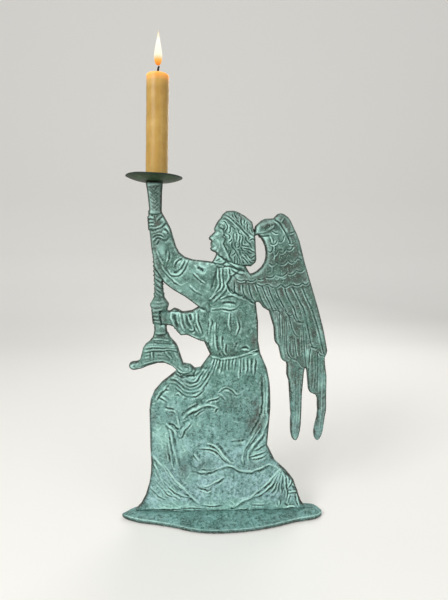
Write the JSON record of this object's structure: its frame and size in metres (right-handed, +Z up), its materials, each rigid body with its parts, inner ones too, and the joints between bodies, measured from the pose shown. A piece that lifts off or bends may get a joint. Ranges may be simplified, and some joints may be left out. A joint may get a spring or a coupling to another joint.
{
  "type": "figural candle holder",
  "caption": "Cast metal candle holder shaped as a kneeling winged angel whose raised staff carries a drip pan and a lit beeswax candle, on a leaf-shaped base.",
  "frame": {"origin": "middle of the resting face, the underside of the rubber pad", "axes": "+Z up, +X to the viewer's right when the figure faces left, -Y towards the viewer"},
  "size_m": [0.2161, 0.0652, 0.4923],
  "materials": {
    "verdigris": "cast, with a verdigris patina that is rubbed lighter on the ridges",
    "verdigris_dark": "spun dish with a darker verdigris patina",
    "rubber": "matt moulded sheet",
    "screw_steel": "zinc plated",
    "pricket_steel": "turned, darkened",
    "beeswax": "smooth poured wax, lit from inside near the flame",
    "wick_cotton": "braided cotton, charred",
    "flame": "burning gas, glowing"
  },
  "bodies": {
    "holder": {"base_pad": "rubber", "base_plate": "verdigris", "angel_figure": "verdigris", "base_screw_1": "screw_steel", "base_screw_2": "screw_steel", "base_screw_3": "screw_steel", "drip_pan": "verdigris_dark", "pricket": "pricket_steel"},
    "candle": {"candle": "beeswax", "wick": "wick_cotton", "flame": "flame"}
  },
  "joints": [
    {"name": "candle_lift", "type": "slide", "parent": "holder", "child": "candle", "axis": [0.0279, 0, 0.9996], "range_m": [0, 0.05]}
  ]
}
